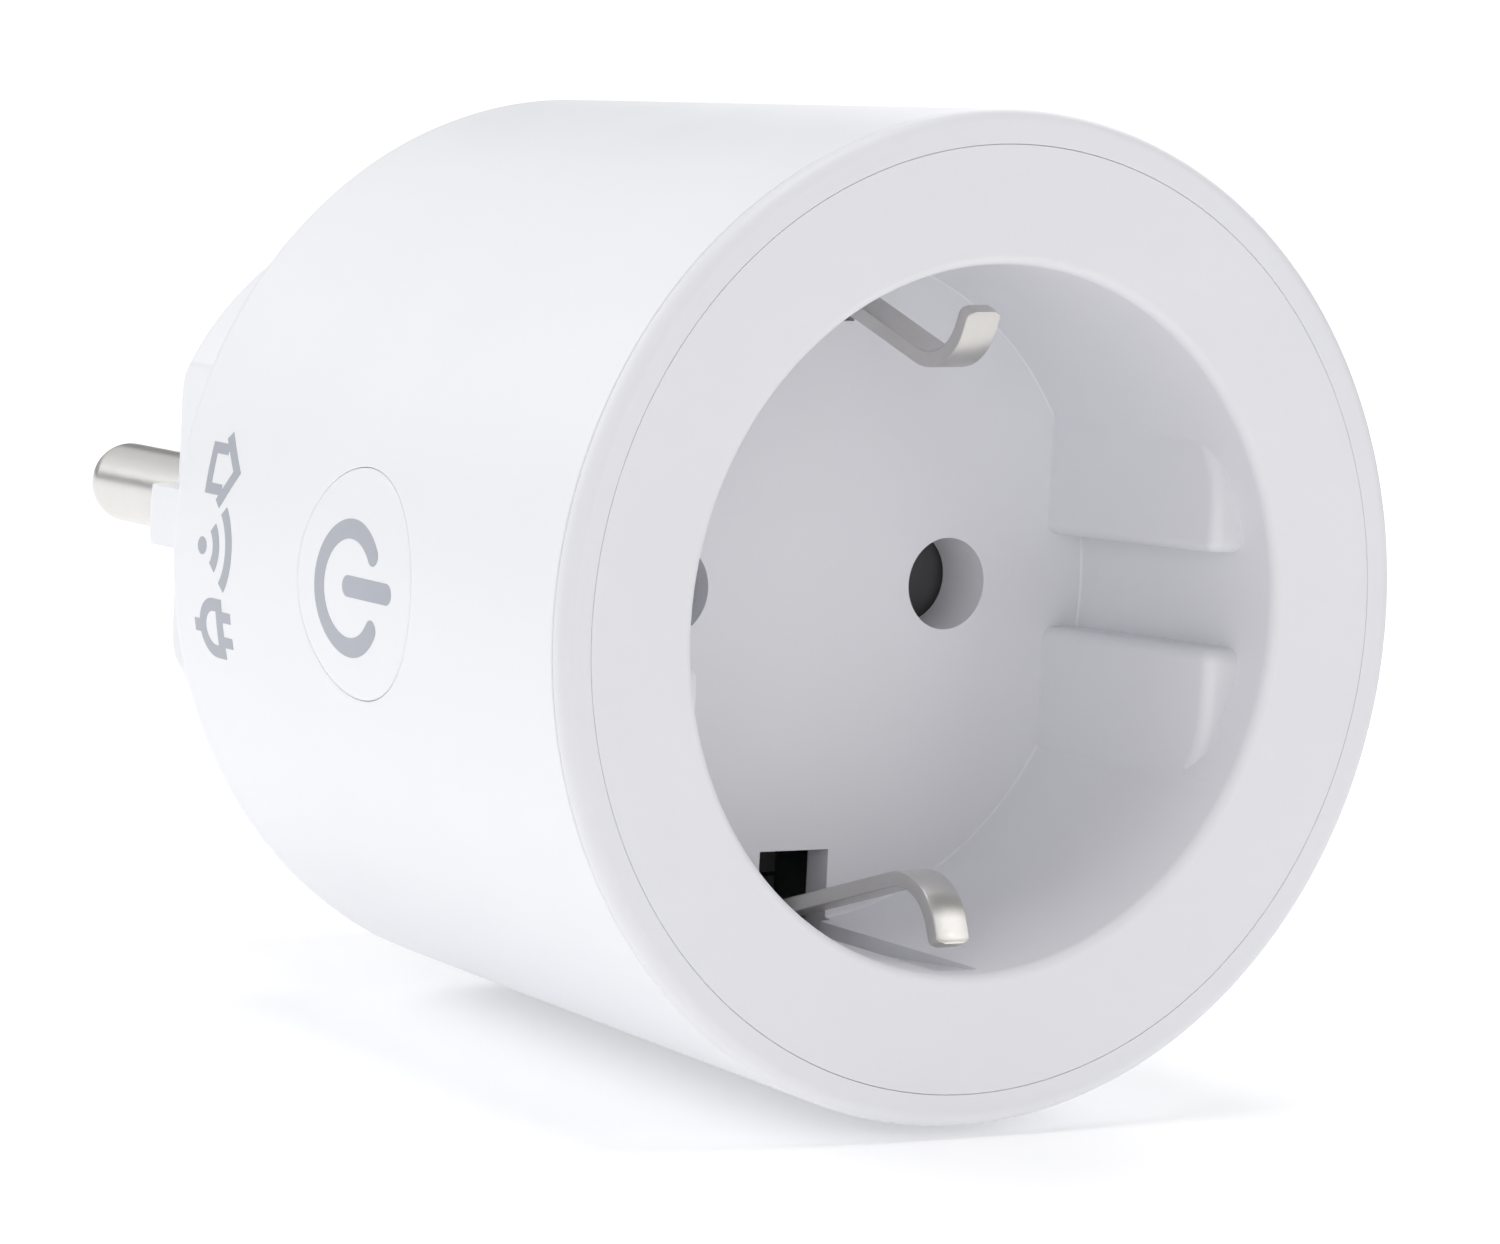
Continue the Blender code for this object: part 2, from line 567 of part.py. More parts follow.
# ---- electronics --------------------------------------------------------------------------
def main_board():
    """Round circuit board behind the contacts, notched for the earth straps."""
    board = rod("main_board", BOARD_RADIUS, BOARD_FRONT, BOARD_BACK, 48, "board_green")
    near, far = BOARD_FRONT - 1.0 * MM, BOARD_BACK + 1.0 * MM
    for side in (-1, 1):
        zs = sorted((side * 16.8 * MM, side * 23.0 * MM))
        boolean(board, block(f"strap_notch_{side + 1}", (-3.0 * MM, near, zs[0]),
                             (3.0 * MM, far, zs[1])))
        x = side * PIN_X
        boolean(board, rod(f"stub_hole_{side + 1}", 1.5 * MM, near, far, 16, centre=(x, 0.0)))
        boolean(board, block(f"tab_slot_{side + 1}", (x - 1.6 * MM, near, -3.7 * MM),
                             (x + 1.6 * MM, far, -2.25 * MM)))
    for number, centre in enumerate(POST_PLACES):
        boolean(board, rod(f"screw_hole_{number}", 1.3 * MM, near, far, 12, centre=centre))


def board_screw(number, centre):
    """Pan-head screw that holds the main board on one post of the insert."""
    head = BOARD_BACK + 0.25 * MM
    profile = [(0.0, 31.4 * MM), (0.5 * MM, 31.4 * MM), (0.95 * MM, 32.2 * MM), (0.95 * MM, head),
               (1.9 * MM, head), (1.9 * MM, head + 0.7 * MM), (1.2 * MM, head + 1.2 * MM),
               (0.0, head + 1.2 * MM)]
    spun(f"board_screw_{number}", profile, 16, "spring_steel", centre)


def can(name, radius, height, centre, material):
    """Upright can on the main board's front, with a bevelled rim."""
    rim = 0.4 * MM
    foot = BOARD_FRONT - GAP
    top = foot - height
    profile = [(0.0, top), (radius - rim, top), (radius, top + rim), (radius, foot), (0.0, foot)]
    spun(name, profile, SMALL_STEPS, material, centre)


def power_inductor():
    """Drum core with a recessed winding."""
    foot = BOARD_FRONT - GAP
    rim, height = 1.0 * MM, 5.5 * MM
    radius, waist = 2.0 * MM, 1.6 * MM
    top = foot - height
    profile = [(0.0, top), (radius, top), (radius, top + rim), (waist, top + rim),
               (waist, foot - rim), (radius, foot - rim), (radius, foot), (0.0, foot)]
    spun("power_inductor", profile, SMALL_STEPS, "black_plastic", (0.0, -13.2 * MM))


def varistor():
    """Disc that clamps surges, standing between the pins inside the nose."""
    centre, radius = (44.2 * MM, -7.0 * MM), 4.8 * MM
    outline = arc(centre, radius, 0.0, math.tau * 23 / 24, 23)
    points = [place(-1.6 * MM, d, z) for d, z in outline]
    extruded("varistor", points, (3.2 * MM, 0.0, 0.0), "varistor_blue")


def shunt_resistor():
    """Arched strip on the board's back that carries the measured current."""
    foot, top, strip = BOARD_BACK + GAP, 40.8 * MM, 0.5 * MM
    left, right, leg = 13.2 * MM, 18.8 * MM, 1.4 * MM
    outline = [(left, foot), (left, foot + strip), (left + leg - strip, foot + strip),
               (left + leg, top), (right - leg, top), (right - leg + strip, foot + strip),
               (right, foot + strip), (right, foot), (right - leg, foot),
               (right - leg - strip, top - strip), (left + leg + strip, top - strip),
               (left + leg, foot)]
    points = [place(x, d, -6.0 * MM) for x, d in outline]
    extruded("shunt_resistor", points, (0.0, 0.0, 3.0 * MM), "spring_steel")


def board_parts():
    """Bought-in components on the main board and on the button board."""
    foot, back = BOARD_FRONT - GAP, BOARD_BACK + GAP
    block("relay", (-9.5 * MM, 24.2 * MM, 6.8 * MM), (9.5 * MM, foot, 16.6 * MM), "relay_blue")
    can("capacitor_large", 4.0 * MM, 11.5 * MM, (-6.6 * MM, -11.0 * MM), "black_plastic")
    can("capacitor_small", 4.0 * MM, 9.0 * MM, (6.6 * MM, -11.0 * MM), "black_plastic")
    block("bridge_rectifier", (15.4 * MM, 33.6 * MM, -3.5 * MM), (19.6 * MM, foot, 3.5 * MM),
          "black_plastic")
    block("buck_converter", (-2.6 * MM, back, 2.4 * MM), (2.6 * MM, 40.4 * MM, 6.4 * MM),
          "black_plastic")
    block("metering_chip", (-2.8 * MM, back, -16.2 * MM), (2.8 * MM, 40.4 * MM, -12.4 * MM),
          "black_plastic")
    block("button_board", (-18.9 * MM, 20.3 * MM, -9.6 * MM), (-17.9 * MM, foot, 9.6 * MM),
          "board_green")
    block("status_led", (-20.1 * MM, 27.0 * MM, -0.9 * MM), (-19.2 * MM, 28.6 * MM, 0.9 * MM),
          "led_lens")
    block("board_header", (-20.9 * MM, 34.4 * MM, -5.0 * MM), (-19.2 * MM, foot, 5.0 * MM),
          "black_plastic")
    block("radio_board", (-17.6 * MM, 21.2 * MM, -8.0 * MM), (-16.8 * MM, 36.0 * MM, 8.0 * MM),
          "board_green")
    block("radio_shield", (-16.5 * MM, 25.0 * MM, -6.0 * MM), (-14.4 * MM, 35.4 * MM, 6.0 * MM),
          "spring_steel")


# ---- assembly -----------------------------------------------------------------------------
def build():
    for thing in list(bpy.data.objects):
        bpy.data.objects.remove(thing, do_unlink=True)
    root = bpy.data.objects.new("smart_plug", None)
    bpy.context.scene.collection.objects.link(root)
    for name, look in MATERIAL_LOOKS.items():
        MATERIALS[name] = make_material(name, *look)

    body_shell()
    front_ring()
    socket_insert()
    plug_base()
    plug_pin("pin_live", -1)
    plug_pin("pin_neutral", 1)

    earth_clip("earth_clip_top", 1, *CLIP_TOP)
    earth_clip("earth_clip_bottom", -1, *CLIP_BOTTOM)
    earth_bridge()
    earth_strap("earth_strap_top", 1)
    earth_strap("earth_strap_bottom", -1)
    earth_pin_contact()

    for name, side in (("live", -1), ("neutral", 1)):
        socket_contact(f"contact_{name}", side)
        contact_housing(f"contact_housing_{name}", side)
    safety_shutter()
    shutter_spring()
    shutter_retainer()

    button_cap()
    push_switch()

    main_board()
    for number, centre in enumerate(POST_PLACES, start=1):
        board_screw(number, centre)
    power_inductor()
    varistor()
    shunt_resistor()
    board_parts()


build()
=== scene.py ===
"""Looks of the smart plug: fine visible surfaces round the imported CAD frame, materials and a studio."""
import json
import math

import bmesh
import bpy
from mathutils import Matrix, Vector


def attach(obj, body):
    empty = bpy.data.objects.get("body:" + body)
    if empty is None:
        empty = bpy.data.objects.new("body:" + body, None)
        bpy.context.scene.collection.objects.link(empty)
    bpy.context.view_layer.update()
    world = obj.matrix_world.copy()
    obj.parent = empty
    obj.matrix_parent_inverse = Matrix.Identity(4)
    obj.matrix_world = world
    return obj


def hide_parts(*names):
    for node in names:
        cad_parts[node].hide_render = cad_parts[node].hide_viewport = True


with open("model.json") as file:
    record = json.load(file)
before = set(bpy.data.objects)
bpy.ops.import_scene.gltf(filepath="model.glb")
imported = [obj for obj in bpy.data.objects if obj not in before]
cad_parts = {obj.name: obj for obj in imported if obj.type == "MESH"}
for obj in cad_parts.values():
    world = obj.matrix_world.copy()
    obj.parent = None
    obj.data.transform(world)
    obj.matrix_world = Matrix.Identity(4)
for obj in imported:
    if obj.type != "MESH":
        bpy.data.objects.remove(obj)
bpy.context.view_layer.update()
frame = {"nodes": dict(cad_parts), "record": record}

MM = 0.001

# ---- dimensions, in millimetres, with depths measured from the socket face -------------------
NOSE_FACE = 60.0
BODY_DEPTH = 45.0
FACE_RADIUS = 28.06
TAPER = 0.053
WALL = 2.0
REAR_ROUNDING = 1.15        # between the body's side and its rear shoulder
SEAM = 1.0                  # depth of the seam between trim ring and body shell
SEAM_GAP = 0.04
SEAM_ROUNDING = 0.1
SKIRT_RADIUS = 26.95        # trim ring's skirt, which reaches into the shell
SKIRT_BORE = 27.08
INSERT_RADIUS = 26.14
INSERT_GAP = 0.025
INSERT_CHAMFER = 0.03
WELL_DEPTH = 17.5
WELL_MOUTH = 19.55
WELL_FLOOR = 19.05
WELL_LIP = 0.6              # rounding of the well's mouth
PIN_HOLE = 2.63
BUTTON_DEPTH = 22.9
BUTTON_RADIUS = 6.435
BUTTON_HOLE = 6.465
BUTTON_ROUNDING = 0.08
PIN_X = 9.5
PIN_RADIUS = 2.4
PIN_DOME = 2.15
PIN_LENGTH = 19.0
NOSE_RADIUS = 18.4
NOSE_ROUNDING = 0.9
NOSE_GAP = 0.18             # between the nose and the hole in the body's rear
EARTH_Z = 10.0              # hole for the wall socket's earth pin
CLIP_WIDTH = 2.28
CLIP_THICKNESS = 0.88
CLIP_ROOT = 22.6            # depth of the clips' roots
CLIP_CREST = 5.8            # depth where the clips come nearest to the well's axis
CLIP_BEND = 3.25
CLIP_TIP_TURN = 68.4
FINE = 240                  # facets round the large round pieces
TINY = 1e-6


def body_radius(depth):
    """Outer radius of the tapered body at a depth."""
    return FACE_RADIUS - TAPER * depth


def place(x, depth, z):
    """World point, in metres, of a place in millimetres behind the socket face."""
    return Vector((x * MM, (depth - NOSE_FACE) * MM, z * MM))


def arc(centre, radius, start, end, steps):
    """Points on an arc between two angles in degrees."""
    turns = [math.radians(start + (end - start) * i / steps) for i in range(steps + 1)]
    return [(centre[0] + radius * math.cos(a), centre[1] + radius * math.sin(a)) for a in turns]


# ---- materials -------------------------------------------------------------------------------
def shader_material(name, **inputs):
    """A material with one Principled shader whose constant inputs are set on its sockets."""
    material = bpy.data.materials.new(name)
    material.use_nodes = True
    shader = material.node_tree.nodes["Principled BSDF"]
    for key, value in inputs.items():
        shader.inputs[key.replace("_", " ")].default_value = value
    return material, shader


def noise(tree, scale, detail=3.0, stretch=(1.0, 1.0, 1.0)):
    """Noise over the piece's own coordinates, whose scale counts features per metre."""
    where = tree.nodes.new("ShaderNodeTexCoord")
    mapping = tree.nodes.new("ShaderNodeMapping")
    mapping.inputs["Scale"].default_value = stretch
    texture = tree.nodes.new("ShaderNodeTexNoise")
    texture.inputs["Scale"].default_value = scale
    texture.inputs["Detail"].default_value = detail
    tree.links.new(where.outputs["Object"], mapping.inputs["Vector"])
    tree.links.new(mapping.outputs["Vector"], texture.inputs["Vector"])
    return texture.outputs["Fac"]


NOISE_LOW, NOISE_HIGH = 0.3, 0.7        # the range that a noise texture mostly fills


def ramp(tree, source, low, high):
    """Colour between two tones, chosen by a texture."""
    node = tree.nodes.new("ShaderNodeValToRGB")
    start, end = node.color_ramp.elements
    start.position, end.position = NOISE_LOW, NOISE_HIGH
    start.color = (*low, 1.0)
    end.color = (*high, 1.0)
    tree.links.new(source, node.inputs["Fac"])
    return node.outputs["Color"]


def spread(tree, source, middle, reach=0.03):
    """A texture's value mapped to a range of roughness."""
    node = tree.nodes.new("ShaderNodeMapRange")
    node.inputs["From Min"].default_value = NOISE_LOW
    node.inputs["From Max"].default_value = NOISE_HIGH
    node.inputs["To Min"].default_value = middle - reach
    node.inputs["To Max"].default_value = middle + reach
    tree.links.new(source, node.inputs["Value"])
    return node.outputs["Result"]


def bump(tree, source, distance):
    """Normals disturbed by a texture, whose full height is a distance in metres."""
    node = tree.nodes.new("ShaderNodeBump")
    node.inputs["Strength"].default_value = 0.5
    node.inputs["Distance"].default_value = distance
    tree.links.new(source, node.inputs["Height"])
    return node.outputs["Normal"]


def plastic(name, low, high, rough, grain=2500.0, depth=0.000004):
    """Moulded plastic: faint flow variation in its colour, fine moulding grain."""
    material, shader = shader_material(name, Specular_IOR_Level=0.5)
    tree = material.node_tree
    flow, wear = noise(tree, 90.0), noise(tree, 300.0)
    tree.links.new(ramp(tree, flow, low, high), shader.inputs["Base Color"])
    tree.links.new(spread(tree, wear, rough), shader.inputs["Roughness"])
    tree.links.new(bump(tree, noise(tree, grain), depth), shader.inputs["Normal"])
    return material


def metal(name, low, high, rough, grain=3000.0, depth=0.000006, stretch=(1.0, 1.0, 1.0)):
    """Bare or plated metal with faint staining and fine grain."""
    material, shader = shader_material(name, Metallic=1.0)
    tree = material.node_tree
    tree.links.new(ramp(tree, noise(tree, 500.0, 5.0), low, high), shader.inputs["Base Color"])
    fine = noise(tree, grain, 4.0, stretch)
    tree.links.new(spread(tree, fine, rough), shader.inputs["Roughness"])
    tree.links.new(bump(tree, fine, depth), shader.inputs["Normal"])
    return material


LOOKS = {
    "white_shell": plastic("shell_white", (0.860, 0.868, 0.899), (0.872, 0.880, 0.911), 0.42),
    "white_insert": plastic("insert_white", (0.806, 0.806, 0.841), (0.820, 0.820, 0.855), 0.45),
    "nickel": metal("nickel_plate", (0.72, 0.71, 0.69), (0.74, 0.73, 0.71), 0.32, 4000.0,
                    0.0000001),
    "clip_nickel": metal("clip_plate", (0.64, 0.625, 0.60), (0.68, 0.665, 0.64), 0.36, 4000.0,
                         0.0000005),
    "brass": metal("stamped_brass", (0.62, 0.45, 0.20), (0.74, 0.57, 0.28), 0.30),
    "spring_steel": metal("spring_steel", (0.50, 0.50, 0.51), (0.60, 0.60, 0.61), 0.30,
                          stretch=(1.0, 8.0, 1.0)),
    "board_green": plastic("solder_mask", (0.02, 0.16, 0.07), (0.03, 0.21, 0.09), 0.35,
                           900.0, 0.00001),
    "black_plastic": plastic("case_black", (0.025, 0.025, 0.028), (0.04, 0.04, 0.043), 0.45),
    "dark_plastic": plastic("shutter_dark", (0.085, 0.085, 0.088), (0.105, 0.105, 0.109), 0.5),
    "relay_blue": plastic("relay_blue", (0.04, 0.13, 0.40), (0.05, 0.16, 0.45), 0.3),
    "varistor_blue": plastic("varistor_blue", (0.04, 0.16, 0.44), (0.06, 0.20, 0.50), 0.3,
                             700.0, 0.00002),
    "led_lens": plastic("led_lens", (0.78, 0.83, 0.93), (0.82, 0.87, 0.96), 0.12),
    "print_grey": plastic("print_grey", (0.40, 0.42, 0.47), (0.44, 0.46, 0.51), 0.5),
}
SLOT_OF = {row["node"]: row["material_slot"] for row in frame["record"]["subparts"]}
for name, thing in frame["nodes"].items():
    thing.data.materials.clear()
    thing.data.materials.append(LOOKS[SLOT_OF[name]])


# ---- mesh helpers ----------------------------------------------------------------------------
def make_piece(name, bm, look, body, nodes=()):
    """Turn a bmesh into a visible piece that rides on a body and stands for CAD nodes."""
    bmesh.ops.recalc_face_normals(bm, faces=bm.faces)
    mesh = bpy.data.meshes.new(name)
    bm.to_mesh(mesh)
    bm.free()
    mesh.shade_smooth()
    mesh.set_sharp_from_angle(angle=math.radians(35.0))
    piece = bpy.data.objects.new(name, mesh)
    bpy.context.scene.collection.objects.link(piece)
    mesh.materials.append(LOOKS[look])
    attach(piece, body)
    if nodes:
        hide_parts(*nodes)
    return piece


def revolve_mesh(profile, steps=FINE, centre=(0.0, 0.0)):
    """Closed mesh of revolution about a line along Y, from points given as (radius, depth)."""
    bm = bmesh.new()
    closed = profile[0][0] > TINY
    rings = []
    for radius, depth in profile:
        if radius < TINY:
            rings.append([bm.verts.new(place(centre[0], depth, centre[1]))])
            continue
        turns = [math.tau * k / steps for k in range(steps)]
        rings.append([bm.verts.new(place(centre[0] + radius * math.cos(a), depth,
                                         centre[1] + radius * math.sin(a))) for a in turns])
    pairs = list(zip(rings, rings[1:]))
    if closed:
        pairs.append((rings[-1], rings[0]))
    for first, second in pairs:
        for k in range(steps):
            n = (k + 1) % steps
            if len(first) == 1:
                bm.faces.new((first[0], second[n], second[k]))
            elif len(second) == 1:
                bm.faces.new((first[k], first[n], second[0]))
            else:
                bm.faces.new((first[k], first[n], second[n], second[k]))
    return bm


def prism_mesh(outline, vector):
    """Prism from a closed outline of world points moved along a vector."""
    bm = bmesh.new()
    face = bm.faces.new([bm.verts.new(point) for point in outline])
    moved = bmesh.ops.extrude_face_region(bm, geom=[face])["geom"]
    verts = [item for item in moved if isinstance(item, bmesh.types.BMVert)]
    bmesh.ops.translate(bm, verts=verts, vec=vector)
    return bm


def box_mesh(low, high):
    """Box between two corners given as (x, depth, z)."""
    bm = bmesh.new()
    low, high = place(*low), place(*high)
    size = Matrix.Diagonal((*(high - low), 1.0))
    bmesh.ops.create_cube(bm, size=1.0, matrix=Matrix.Translation((low + high) / 2) @ size)
    return bm


def guide(bm, bevel=0.0, segments=3, angle=25.0):
    """A hidden solid for a Boolean, with its edges rounded first where asked."""
    bmesh.ops.recalc_face_normals(bm, faces=bm.faces)
    if bevel:
        limit = math.radians(angle)
        edges = [e for e in bm.edges if len(e.link_faces) == 2 and e.calc_face_angle() > limit]
        bmesh.ops.bevel(bm, geom=edges, offset=bevel * MM, segments=segments, profile=0.5,
                        affect="EDGES", clamp_overlap=True)
    mesh = bpy.data.meshes.new("guide")
    bm.to_mesh(mesh)
    bm.free()
    thing = bpy.data.objects.new("guide", mesh)
    bpy.context.scene.collection.objects.link(thing)
    return thing


def combine(piece, steps):
    """Apply Booleans one after the other: each step is an operation and a guide solid."""
    for operation, tool in steps:
        modifier = piece.modifiers.new("combine", "BOOLEAN")
        modifier.operation = operation
        modifier.solver = "EXACT"
        modifier.object = tool
    bake(piece)
    for _, tool in steps:
        bpy.data.objects.remove(tool)


def bake(piece):
    """Replace the piece's mesh by what its modifiers make of it."""
    graph = bpy.context.evaluated_depsgraph_get()
    graph.update()
    mesh = bpy.data.meshes.new_from_object(piece.evaluated_get(graph))
    piece.modifiers.clear()
    piece.data = mesh


def even_normals(piece, sharp=40.0):
    """Shade smooth with normals weighted by face area."""
    piece.data.shade_smooth()
    piece.data.set_sharp_from_angle(angle=math.radians(sharp))
    modifier = piece.modifiers.new("normals", "WEIGHTED_NORMAL")
    modifier.keep_sharp = True
    modifier.weight = 100
    bake(piece)


# ---- trim ring and body shell ----------------------------------------------------------------
def front_ring():
    """Trim ring round the face, with a rounded outer edge and a skirt inside the shell."""
    skirt_depth = 4.6
    inner, outer = INSERT_RADIUS + INSERT_GAP, body_radius(SEAM)
    rear = SEAM - SEAM_GAP
    edge = rear - SEAM_ROUNDING
    profile = [(inner + INSERT_CHAMFER, 0.0)]
    profile += arc((outer - edge, edge), edge, -90, 0, 10)
    profile += arc((outer - SEAM_ROUNDING, edge), SEAM_ROUNDING, 0, 90, 3)[1:]
    profile += [(SKIRT_RADIUS, rear), (SKIRT_RADIUS, skirt_depth), (inner, skirt_depth),
                (inner, INSERT_CHAMFER)]
    piece = make_piece("trim_ring", revolve_mesh(profile), "white_insert", "housing",
                       ["front_ring"])
    even_normals(piece)


def button_patch(bm, loop, radius_at, hole, rounding):
    """Rings of faces between a square of the grid and the button's round hole.

    Returns the last ring. The loop holds (vertex, depth, z) round the hole.
    """
    rings = 6
    last = [item[0] for item in loop]
    turned = [math.atan2(z, depth - BUTTON_DEPTH) for _, depth, z in loop]
    for k in range(1, rings + 1):
        share = k / rings
        ring = []
        for (_, depth, z), turn in zip(loop, turned):
            near = (BUTTON_DEPTH + (hole + rounding) * math.cos(turn),
                    (hole + rounding) * math.sin(turn))
            d = depth + (near[0] - depth) * share
            h = z + (near[1] - z) * share
            r = radius_at(d)
            ring.append(bm.verts.new(place(-math.sqrt(r * r - h * h), d, h)))
        bridge(bm, last, ring)
        last = ring
    for k in range(1, 4):
        a = math.radians(30 * k)
        reach = hole + rounding * (1 - math.sin(a))
        ring = []
        for turn in turned:
            d = BUTTON_DEPTH + reach * math.cos(turn)
            h = reach * math.sin(turn)
            r = radius_at(d)
            x = -math.sqrt(r * r - h * h) + rounding * (1 - math.cos(a))
            ring.append(bm.verts.new(place(x, d, h)))
        bridge(bm, last, ring)
        last = ring
    return last


def bridge(bm, first, second):
    """Quads between two closed rings of equal length."""
    for k in range(len(first)):
        n = (k + 1) % len(first)
        bm.faces.new((first[k], first[n], second[n], second[k]))


def body_shell():
    """Tapered sleeve whose grid opens round the button hole."""
    rear, corner, small = BODY_DEPTH, REAR_ROUNDING, SEAM_ROUNDING
    block = 12                              # half the opened square, in grid steps
    step = 0.7                              # depth of a grid row beside the button
    bore_depth = 4.9                        # the bore takes the trim ring's skirt
    first_row = BUTTON_DEPTH - block * step
    front = SEAM + SEAM_GAP
    rounded = front + small
    outer = [(body_radius(front) - small, front)]
    outer += arc((body_radius(rounded) - small, rounded), small, -60, 0, 2)
    outer += [(body_radius(d), d) for d in (3.0, 6.0, 9.0, 12.0)]
    rows = [first_row + step * k for k in range(2 * block + 1)]
    start = len(outer)
    outer += [(body_radius(d), d) for d in rows]
    outer += [(body_radius(d), d) for d in (34.0, 37.0, 40.0)]
    bend = (body_radius(rear - corner) - corner, rear - corner)
    outer += arc(bend, corner, -math.degrees(math.atan(TAPER)), 90, 8)
    hole = NOSE_RADIUS + NOSE_GAP
    outer += [(22.0, rear), (hole + small, rear), (hole, rear - small), (hole, rear - WALL)]
    inner = [(body_radius(rear - WALL) - WALL, rear - WALL)]
    inner_start = len(outer) + len(inner)
    inner += [(body_radius(d) - WALL, d) for d in reversed(rows)]
    inner += [(body_radius(bore_depth) - WALL, bore_depth), (SKIRT_BORE, bore_depth),
              (SKIRT_BORE, front)]
    profile = outer + inner
    bm = bmesh.new()
    turns = [math.tau * k / FINE for k in range(FINE)]
    rings = []
    for radius, depth in profile:
        rings.append([bm.verts.new(place(radius * math.cos(a), depth, radius * math.sin(a)))
                      for a in turns])
    middle = FINE // 2
    low, high = middle - block, middle + block

    def opened(row, column):
        inside = low <= column < high
        out = start <= row < start + 2 * block
        back = inner_start <= row < inner_start + 2 * block
        return inside and (out or back)

    count = len(profile)
    for row in range(count):
        after = (row + 1) % count
        for column in range(FINE):
            if opened(row, column):
                continue
            n = (column + 1) % FINE
            bm.faces.new((rings[row][column], rings[row][n], rings[after][n], rings[after][column]))

    def square(first):
        """Vertices round the opened square, in order, with their depth and height."""
        last = first + 2 * block
        cells = [(first, c) for c in range(low, high)]
        cells += [(r, high) for r in range(first, last)]
        cells += [(last, c) for c in range(high, low, -1)]
        cells += [(r, low) for r in range(last, first, -1)]
        return [(rings[r][c], profile[r][1], profile[r][0] * math.sin(turns[c])) for r, c in cells]

    outside = button_patch(bm, square(start), body_radius, BUTTON_HOLE, BUTTON_ROUNDING)
    inside = button_patch(bm, square(inner_start), lambda d: body_radius(d) - WALL, BUTTON_HOLE,
                          0.05)
    stray = [v for v in bm.verts if not v.link_faces]
    bmesh.ops.delete(bm, geom=stray, context="VERTS")
    loops = []
    for ring in (outside, inside):
        loops += [edge for vertex in ring for edge in vertex.link_edges
                  if edge.other_vert(vertex) in ring and len(edge.link_faces) == 1]
    bmesh.ops.bridge_loops(bm, edges=list(dict.fromkeys(loops)))
    piece = make_piece("shell_sleeve", bm, "white_shell", "housing", ["body_shell"])
    even_normals(piece)


# ---- button ----------------------------------------------------------------------------------
def button_cap():
    """Flush cap that follows the body's taper, with a rounded rim, a flange and a stem."""
    sides, rounding = 96, BUTTON_ROUNDING
    flange, stem = (7.4, 5.2), 1.6          # outer and inner radius of the flange, stem's radius
    bm = bmesh.new()

    def ring(radius, x_of):
        turns = [math.tau * k / sides for k in range(sides)]
        made = []
        for a in turns:
            d, h = BUTTON_DEPTH + radius * math.cos(a), radius * math.sin(a)
            made.append(bm.verts.new(place(x_of(d, h), d, h)))
        return made

    def surface(drop):
        return lambda d, h: -math.sqrt(body_radius(d) ** 2 - h * h) + drop

    centre = bm.verts.new(place(-body_radius(BUTTON_DEPTH), BUTTON_DEPTH, 0.0))
    flat = BUTTON_RADIUS - rounding
    rings = [ring(flat * k / 10, surface(0.0)) for k in range(1, 11)]
    for k in range(1, 5):
        a = math.radians(22.5 * k)
        rings.append(ring(flat + rounding * math.sin(a), surface(rounding * (1 - math.cos(a)))))
    for radius, x in ((BUTTON_RADIUS, -23.35), (flange[0], -23.35), (flange[0], -22.5),
                      (flange[1], -22.5), (flange[1], -25.0), (stem, -25.0), (stem, -22.3),
                      (stem - 0.1, -22.2)):
        rings.append(ring(radius, lambda d, h, x=x: x))
    for first, second in zip(rings, rings[1:]):
        bridge(bm, first, second)
    for k in range(sides):
        bm.faces.new((centre, rings[0][k], rings[0][(k + 1) % sides]))
    bm.faces.new(rings[-1])
    piece = make_piece("button_face", bm, "white_shell", "button", ["button_cap"])
    even_normals(piece)


# ---- printed marks ---------------------------------------------------------------------------
INK = 0.02                  # thickness of the printed marks
INK_ROOT = 0.03             # how far a mark reaches below the surface


def ink_point(depth, z, lift):
    """Point of a mark on the body's left side, lifted off the surface."""
    r = body_radius(depth)
    return place(-math.sqrt(r * r - z * z) - lift, depth, z)


def ink_strip(bm, path, width):
    """Printed stroke along a path of (depth, height) points, with round ends."""
    half, cap_steps, across = width / 2, 6, 4
    points = [Vector(p) for p in path]
    count = len(points)
    lines = []
    for i, point in enumerate(points):
        along = (points[min(i + 1, count - 1)] - points[max(i - 1, 0)]).normalized()
        lines.append((point, along, Vector((-along.y, along.x))))
    quarter = [math.radians(90 * k / cap_steps) for k in range(1, cap_steps + 1)]
    sections = [(point, side * half) for point, _, side in lines]
    point, along, side = lines[0]
    for a in quarter:
        sections.insert(0, (point - along * half * math.sin(a), side * half * math.cos(a)))
    point, along, side = lines[-1]
    for a in quarter:
        sections.append((point + along * half * math.sin(a), side * half * math.cos(a)))
    tops, lows = [], []
    for middle, reach in sections:
        reach = reach if reach.length > 1e-4 else lines[0][2] * 1e-3
        spots = [middle + reach * (2 * j / across - 1) for j in range(across + 1)]
        tops.append([bm.verts.new(ink_point(s.x, s.y, INK)) for s in spots])
        lows.append([bm.verts.new(ink_point(s.x, s.y, -INK_ROOT)) for s in spots])
    for rows in (tops, lows):
        for a, b in zip(rows, rows[1:]):
            for j in range(across):
                bm.faces.new((a[j], a[j + 1], b[j + 1], b[j]))
    for i in range(len(sections) - 1):
        for j in (0, across):
            bm.faces.new((tops[i][j], tops[i + 1][j], lows[i + 1][j], lows[i][j]))
    for i in (0, len(sections) - 1):
        for j in range(across):
            bm.faces.new((tops[i][j], tops[i][j + 1], lows[i][j + 1], lows[i][j]))


